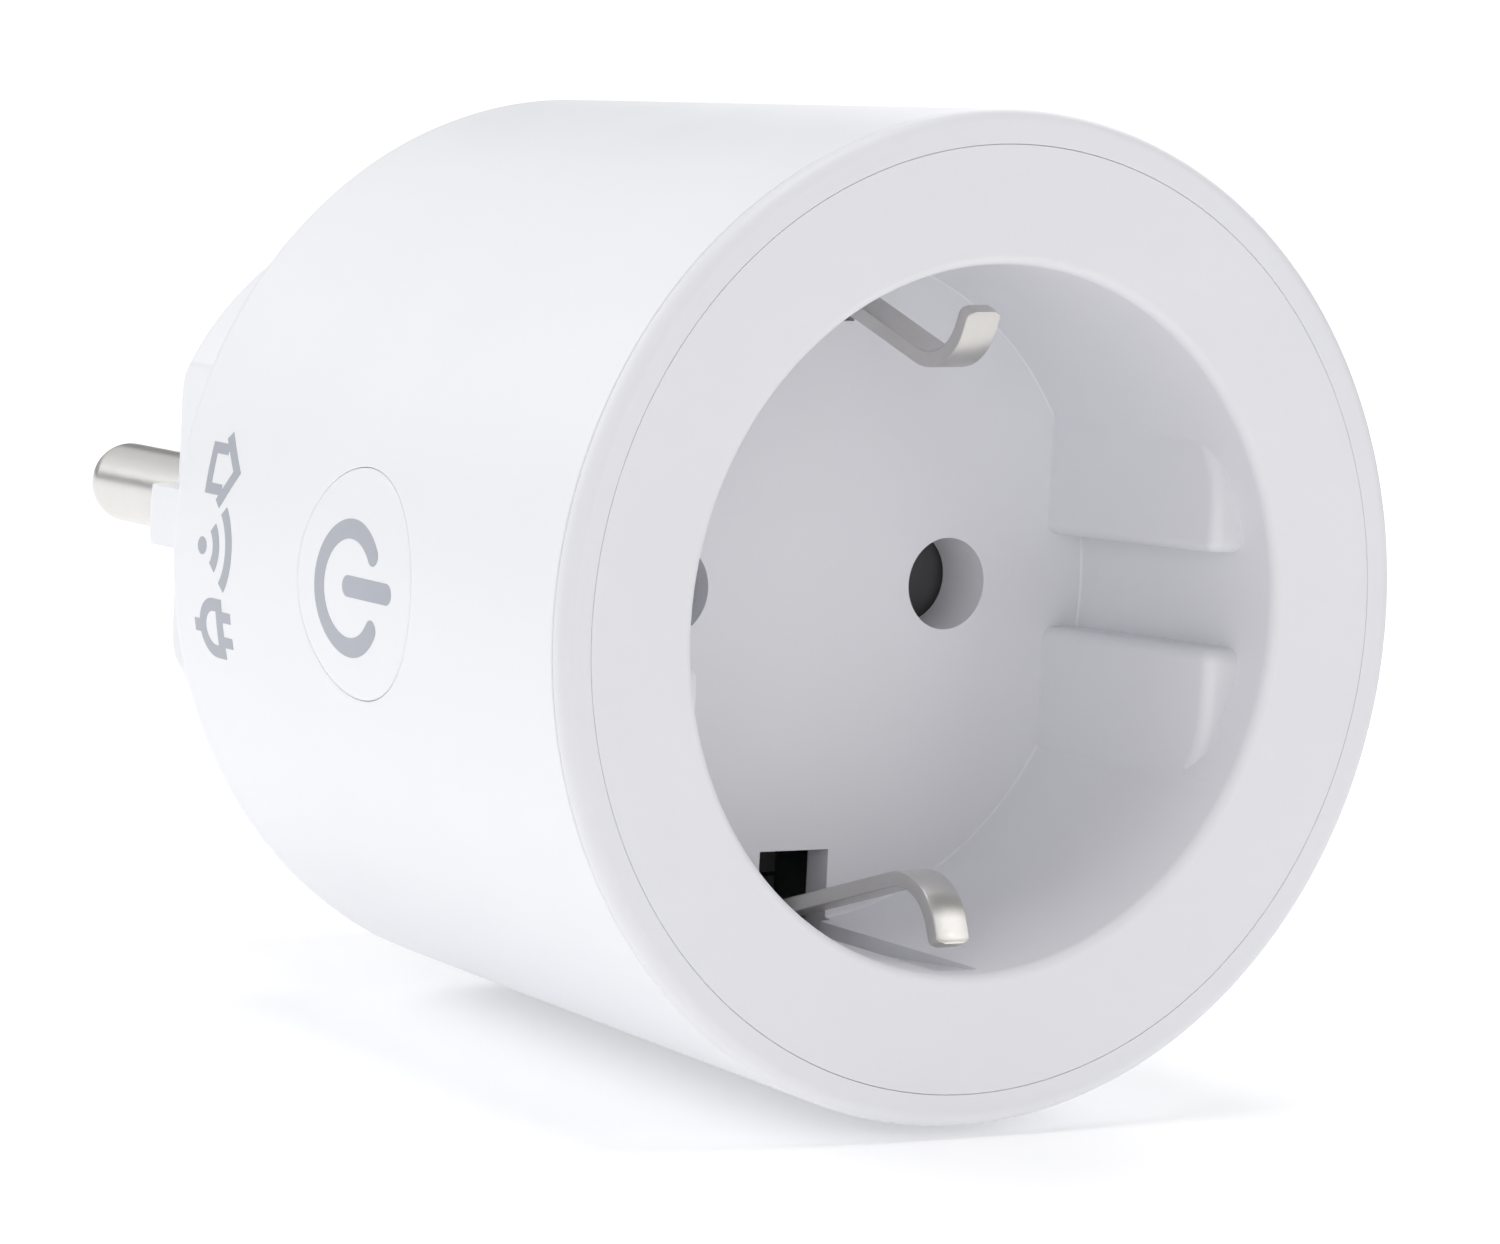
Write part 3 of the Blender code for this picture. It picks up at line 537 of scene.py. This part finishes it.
def power_symbol():
    """Open ring and bar printed on the button, with the opening towards the socket face."""
    centre, radius, gap = (23.5, -0.28), 3.3, 38
    bar_start, bar_length, bar_z = 23.55, 4.35, -0.15
    bm = bmesh.new()
    ink_strip(bm, arc(centre, radius, 180 - gap, -180 + gap, 60), 1.1)
    ink_strip(bm, [(bar_start - bar_length * k / 10, bar_z) for k in range(11)], 1.2)
    make_piece("power_symbol", bm, "print_grey", "button")


def ink_outline(bm, points, width, closed=False, grain=0.25):
    """Printed stroke with crisp mitred corners through (depth, height) points."""
    spots = [Vector(p) for p in points]
    count = len(spots)
    pairs = []
    for i, spot in enumerate(spots):
        before, after = spots[i - 1], spots[(i + 1) % count]
        if not closed and i == 0:
            before = spot - (after - spot)
        if not closed and i == count - 1:
            after = spot + (spot - before)
        into, out = (spot - before).normalized(), (after - spot).normalized()
        middle = Vector((-(into.y + out.y), into.x + out.x)).normalized()
        reach = middle * (width / 2 / max(middle.dot(Vector((-into.y, into.x))), 0.3))
        pairs.append((spot - reach, spot + reach))
    ends = pairs[1:] + pairs[:1] if closed else pairs[1:]
    sections = []
    for (low0, high0), (low1, high1) in zip(pairs, ends):
        steps = max(1, round((low1 - low0).length / grain))
        for k in range(steps):
            share = k / steps
            sections.append((low0.lerp(low1, share), high0.lerp(high1, share)))
    if not closed:
        sections.append(pairs[-1])
    across = 3
    rings = []
    for low, high in sections:
        row = [low.lerp(high, j / across) for j in range(across + 1)]
        top = [bm.verts.new(ink_point(p.x, p.y, INK)) for p in row]
        foot = [bm.verts.new(ink_point(p.x, p.y, -INK_ROOT)) for p in reversed(row)]
        rings.append(top + foot)
    for first, second in zip(rings, rings[1:] + rings[:1] if closed else rings[1:]):
        bridge(bm, first, second)
    if not closed:
        bm.faces.new(rings[0])
        bm.faces.new(rings[-1])


def maker_mark():
    """Generic row of three signs near the body's rear: a house, radio waves and a plug."""
    bm = bmesh.new()
    row_depth, stroke, thin = 39.25, 0.74, 0.62
    house, waves, plug = 4.7, 0.25, -4.35   # heights of the three signs

    def sign(points, centre, width=stroke, closed=False):
        """Stroke through points given as (up, across) about a place on the row."""
        ink_outline(bm, [(row_depth - u, centre - v) for u, v in points], width, closed)

    sign([(-0.15, -1.95), (1.55, 0.0), (-0.15, 1.95)], house, 0.66)
    sign([(0.1, -1.15), (-1.5, -1.15), (-1.5, 1.15), (0.1, 1.15)], house, thin)
    source = (-1.5, 0.0)
    for radius in (1.65, 3.15):
        sign(arc(source, radius, -44, 44, 16), waves)
    sign(arc(source, 0.26, 0, 330, 11), waves, 0.5, True)
    cup = [(0.4, -1.35)] + arc((-0.3, 0.0), 1.35, -90, -270, 16) + [(0.4, 1.35)]
    sign(cup, plug, closed=True)
    for across in (-0.72, 0.72):
        sign([(0.74, across), (1.75, across)], plug, thin)
    sign([(-2.0, 0.0), (-2.6, 0.0)], plug)
    make_piece("maker_mark", bm, "print_grey", "housing")


# ---- socket insert ---------------------------------------------------------------------------
def guide_pad(side, half):
    """One guide pad: a flat with an upright front, rounded along its free edges."""
    floor_gap, front_gap = (2.7, 3.15) if half > 0 else (2.65, 2.3)
    front, corner, reach_z = 2.7, 0.9, 12.5
    top_x, slope, root_x = 17.15, 0.7, 20.4  # the pad's face leans inwards towards the floor
    rear = WELL_DEPTH + 1.0
    outline = [(rear, floor_gap)]
    outline += arc((front + corner, front_gap + corner), corner, 270, 180, 6)
    outline += [(front, 6.0), (front + 0.15, 7.2), (front + 0.5, 8.3), (front + 1.1, 9.3),
                (front + 1.9, 10.2), (front + 3.3, 11.4), (front + 4.6, reach_z)]
    outline += [(rear, reach_z)]
    bm = bmesh.new()
    tops, lows = [], []
    for depth, z in outline:
        share = min(max((depth - front) / (WELL_DEPTH - front), 0.0), 1.0)
        tops.append(bm.verts.new(place(side * (top_x - slope * share), depth, half * z)))
        lows.append(bm.verts.new(place(side * root_x, depth, half * z)))
    bm.faces.new(tops)
    bm.faces.new(lows)
    bridge(bm, tops, lows)
    return guide(bm, 0.7, 6, 50.0)


def rod(radius, start, end, centre=(0.0, 0.0), sides=64):
    """Guide solid of a round bar along Y, between two depths."""
    return guide(revolve_mesh([(0.0, start), (radius, start), (radius, end), (0.0, end)], sides,
                              centre))


def socket_insert():
    """Face plate with the well, its pads, holes, slots and grooves, and the posts behind it."""
    lip, chamfer = WELL_LIP, INSERT_CHAMFER
    floor_rear, plate = 19.5, 2.2
    profile = [(0.0, WELL_DEPTH), (WELL_FLOOR - 0.1, WELL_DEPTH), (WELL_FLOOR, WELL_DEPTH - 0.1)]
    profile += arc((WELL_MOUTH + lip, lip), lip, 180, 270, 6)
    profile += [(INSERT_RADIUS - chamfer, 0.0), (INSERT_RADIUS, chamfer), (INSERT_RADIUS, plate),
                (25.3, plate), (25.3, 8.0), (24.1, 8.0), (24.1, plate), (21.1, plate),
                (21.1, floor_rear), (0.0, floor_rear)]
    piece = make_piece("socket_face", revolve_mesh(profile), "white_insert", "housing",
                       ["socket_insert"])
    sides = (-1, 1)
    steps = [("UNION", guide_pad(side, half)) for side in sides for half in sides]
    steps += [("UNION", rod(4.2, 19.0, 21.5, (side * PIN_X, 0.0))) for side in sides]
    for centre in [(sx * 14.2, sz * 11.9) for sx in sides for sz in sides]:
        post = revolve_mesh([(0.0, 19.1), (2.2, 19.1), (2.2, 36.7), (1.15, 36.7), (1.15, 31.0),
                             (0.0, 31.0)], 32, centre)
        steps.append(("UNION", guide(post)))
    pivot = revolve_mesh([(0.0, 19.2), (1.6, 19.2), (1.6, 26.2), (1.4, 26.4), (0.0, 26.4)], 32)
    steps.append(("UNION", guide(pivot)))
    for side in sides:
        steps.append(("DIFFERENCE", rod(PIN_HOLE, 16.0, 23.0, (side * PIN_X, 0.0), 72)))
        low, high = sorted((side * 15.0, side * 20.25))
        steps.append(("DIFFERENCE", guide(box_mesh((-2.5, 16.9, low), (2.2, 20.5, high)))))
        steps.append(("DIFFERENCE", clip_groove(side)))
    combine(piece, steps)
    even_normals(piece)


def clip_groove(side):
    """Guide solid of the sloped groove that gives an earth clip room in the well's wall."""
    half_width, front, root, rear = 1.45, 1.6, 17.0, WELL_DEPTH - 0.05
    outline = [(front, root), (front, 19.58), (rear, 20.42), (rear, root)]
    points = [place(-half_width, depth, side * height) for depth, height in outline]
    return guide(prism_mesh(points, Vector((2 * half_width * MM, 0, 0))))


# ---- metal pieces ----------------------------------------------------------------------------
def clip_line(root_height, crest, tail):
    """Middle line of an earth clip as (depth, height) points from its root to its tip."""
    root, centre = (CLIP_ROOT, root_height), (CLIP_CREST, crest + CLIP_BEND)
    to_root = (root[0] - centre[0], root[1] - centre[1])
    reach = math.acos(CLIP_BEND / math.hypot(*to_root))
    leg = math.degrees(math.atan2(to_root[1], to_root[0]) - reach)
    line = arc(centre, CLIP_BEND, leg, -90 - CLIP_TIP_TURN, 32)
    end, last, runs = math.radians(CLIP_TIP_TURN), line[-1], 8
    tip = [(last[0] - tail * k / runs * math.cos(end), last[1] + tail * k / runs * math.sin(end))
           for k in range(1, runs + 1)]
    straight = [(root[0] + (line[0][0] - root[0]) * k / runs,
                 root[1] + (line[0][1] - root[1]) * k / runs) for k in range(runs)]
    return straight + line + tip


def strip_section(half_w, half_t, edge):
    """Outline of a strip's cross-section with rounded corners, as (x, thickness) points."""
    section = []
    for quarter, (sx, st) in enumerate(((1, 1), (-1, 1), (-1, -1), (1, -1))):
        for k in range(4):
            a = math.radians(90 * quarter + 30 * k)
            section.append((sx * (half_w - edge) + edge * math.cos(a),
                            st * (half_t - edge) + edge * math.sin(a)))
    return section


def clip_strip(end, line, side):
    """Bent strip of an earth clip, with slightly rounded edges and rounded corners at its tip."""
    edge, corner = 0.09, 0.45
    bm = bmesh.new()
    total = [0.0]
    for a, b in zip(line, line[1:]):
        total.append(total[-1] + math.hypot(b[0] - a[0], b[1] - a[1]))
    rings = []
    for i, point in enumerate(line):
        before = Vector(line[max(i - 1, 0)])
        after = Vector(line[min(i + 1, len(line) - 1)])
        along = (after - before).normalized()
        normal = Vector((-along.y, along.x))
        into = max(corner - (total[-1] - total[i]), 0.0)
        shrink = corner - math.sqrt(corner ** 2 - into ** 2)
        ring = []
        for x, t in strip_section(CLIP_WIDTH / 2 - shrink, CLIP_THICKNESS / 2, edge):
            depth, height = point[0] + normal.x * t, point[1] + normal.y * t
            ring.append(bm.verts.new(place(x, depth, side * height)))
        rings.append(ring)
    for first, second in zip(rings, rings[1:]):
        bridge(bm, first, second)
    bm.faces.new(rings[0])
    bm.faces.new(rings[-1])
    piece = make_piece(f"clip_strip_{end}", bm, "clip_nickel", f"clip_{end}",
                       [f"earth_clip_{end}"])
    even_normals(piece)


def plug_pin(name, side):
    """Round pin with a domed tip and a thin root in the nose."""
    tip = NOSE_FACE + PIN_LENGTH
    profile = [(0.0, 36.9), (1.2, 36.9), (1.2, 38.9), (PIN_RADIUS, 38.9)]
    profile += arc((PIN_RADIUS - PIN_DOME, tip - PIN_DOME), PIN_DOME, 0, 84, 12)
    profile += [(0.0, tip)]
    piece = make_piece(f"plug_pin_{name}", revolve_mesh(profile, 96, (side * PIN_X, 0.0)),
                       "nickel", "housing", [f"pin_{name}"])
    even_normals(piece)


# ---- plug nose -------------------------------------------------------------------------------
def plug_base():
    """Nose with side flats, ridges, earth channels and its three bores, on a hidden flange."""
    flange, flange_front, flange_rear = 22.0, 41.1, 42.75
    flat_x, ridge_z, flat_z = 16.15, 1.75, 13.0
    channel_x, channel_z = 2.75, 16.95
    edge, beyond = NOSE_ROUNDING, NOSE_FACE + 1.0
    profile = [(0.0, flange_front), (flange, flange_front), (flange, flange_rear),
               (NOSE_RADIUS, flange_rear)]
    profile += arc((NOSE_RADIUS - edge, NOSE_FACE - edge), edge, 0, 90, 6)
    profile += [(0.0, NOSE_FACE)]
    piece = make_piece("nose_moulding", revolve_mesh(profile, 216), "white_shell", "housing",
                       ["plug_base"])
    sides = (-1, 1)
    steps = [("DIFFERENCE", rod(14.3, 40.0, 57.5, sides=96))]
    for side in sides:
        for half in sides:
            xs = sorted((side * flat_x, side * 21.0))
            zs = sorted((half * ridge_z, half * flat_z))
            flat = box_mesh((xs[0], 46.0, zs[0]), (xs[1], beyond + 0.5, zs[1]))
            steps.append(("DIFFERENCE", guide(flat, 0.4, 3)))
        zs = sorted((side * channel_z, side * 23.0))
        channel = box_mesh((-channel_x, 40.0, zs[0]), (channel_x, 58.5, zs[1]))
        steps.append(("DIFFERENCE", guide(channel)))
        steps.append(("UNION", rod(4.2, 44.3, 58.1, (side * PIN_X, 0.0), 48)))
    earth = (0.0, EARTH_Z)
    steps.append(("UNION", rod(4.6, 45.4, 57.9, earth, 48)))
    bore = revolve_mesh([(0.0, 44.0), (3.75, 44.0), (3.75, 56.8), (2.75, 56.8), (2.75, 59.6),
                         (3.2, 60.05), (3.2, beyond), (0.0, beyond)], 64, earth)
    steps.append(("DIFFERENCE", guide(bore)))
    for side in sides:
        bore = revolve_mesh([(0.0, 43.0), (2.5, 43.0), (2.5, 59.85), (2.7, 60.05),
                             (2.7, beyond), (0.0, beyond)], 64, (side * PIN_X, 0.0))
        steps.append(("DIFFERENCE", guide(bore)))
    combine(piece, steps)
    even_normals(piece)


# ---- studio ----------------------------------------------------------------------------------
SOFTBOX_SIZE = 0.6
SOFTBOXES = {               # turn and height in degrees, then power in watts
    "overhead": (0, 89, 4.20),
    "front_high": (0, 50, 0.45),
    "front_left": (-40, 12, 1.77),
    "front_right": (40, 22, 2.06),
    "left_high": (-90, 32, 1.12),
    "left_rear": (-135, 30, 2.75),
    "right_rear": (130, 30, 2.50),
    "rear": (180, 30, 0.64),
}
FLOOR_GAP = 0.6             # between the floor and the body's lowest line
FLOOR_DEPTH = 20.0          # where the gap is measured


def softbox(name, turn, height, power):
    """Square softbox a metre from the plug. The turn is 0 in front and 90 on its right."""
    middle = Vector((0.0, -0.04, 0.0))
    a, e = math.radians(turn), math.radians(height)
    away = Vector((math.sin(a) * math.cos(e), -math.cos(a) * math.cos(e), math.sin(e)))
    data = bpy.data.lights.new(name, "AREA")
    data.shape = "RECTANGLE"
    data.size = data.size_y = SOFTBOX_SIZE
    data.energy = power
    light = bpy.data.objects.new(name, data)
    light.location = middle + away
    light.rotation_euler = (-away).to_track_quat("-Z", "Y").to_euler()
    bpy.context.scene.collection.objects.link(light)


def surroundings():
    """Even, faint light from all round."""
    world = bpy.data.worlds.new("studio_world")
    world.use_nodes = True
    background = world.node_tree.nodes["Background"]
    background.inputs["Color"].default_value = (1.0, 1.0, 1.0, 1.0)
    background.inputs["Strength"].default_value = 0.17
    bpy.context.scene.world = world


def studio_floor():
    """Pale floor just below the body's lowest line, which it follows."""
    bm = bmesh.new()
    bmesh.ops.create_grid(bm, x_segments=1, y_segments=1, size=4.0)
    mesh = bpy.data.meshes.new("studio_floor")
    bm.to_mesh(mesh)
    bm.free()
    floor = bpy.data.objects.new("studio_floor", mesh)
    bpy.context.scene.collection.objects.link(floor)
    floor.rotation_euler = (math.atan(TAPER), 0.0, 0.0)
    floor.location = place(0.0, FLOOR_DEPTH, -body_radius(FLOOR_DEPTH) - FLOOR_GAP)
    material, shader = shader_material("floor_white", Roughness=0.7, Specular_IOR_Level=0.2)
    tree = material.node_tree
    tone = ramp(tree, noise(tree, 6.0), (0.93, 0.93, 0.935), (0.94, 0.94, 0.945))
    tree.links.new(tone, shader.inputs["Base Color"])
    shader.inputs["Emission Color"].default_value = (1.0, 1.0, 1.0, 1.0)
    shader.inputs["Emission Strength"].default_value = 0.225
    mesh.materials.append(material)


def view_camera():
    """Long lens from the plug's front left."""
    data = bpy.data.cameras.new("camera")
    data.lens = 208.51
    data.sensor_width = 36.0
    data.clip_start = 0.01
    camera = bpy.data.objects.new("camera", data)
    camera.location = (-0.27927, -0.44121, 0.04942)
    camera.rotation_euler = [math.radians(a) for a in (83.944, -2.735, -34.338)]
    bpy.context.scene.collection.objects.link(camera)
    bpy.context.scene.camera = camera


def studio():
    """Light, floor and camera."""
    bpy.context.scene.view_settings.view_transform = "Standard"
    surroundings()
    studio_floor()
    for name, settings in SOFTBOXES.items():
        softbox(name, *settings)
    view_camera()


front_ring()
body_shell()
button_cap()
power_symbol()
maker_mark()
socket_insert()
clip_strip("top", clip_line(19.08, 13.91, 1.1), 1)
clip_strip("bottom", clip_line(19.73, 14.97, 1.28), -1)
plug_pin("live", -1)
plug_pin("neutral", 1)
plug_base()
studio()
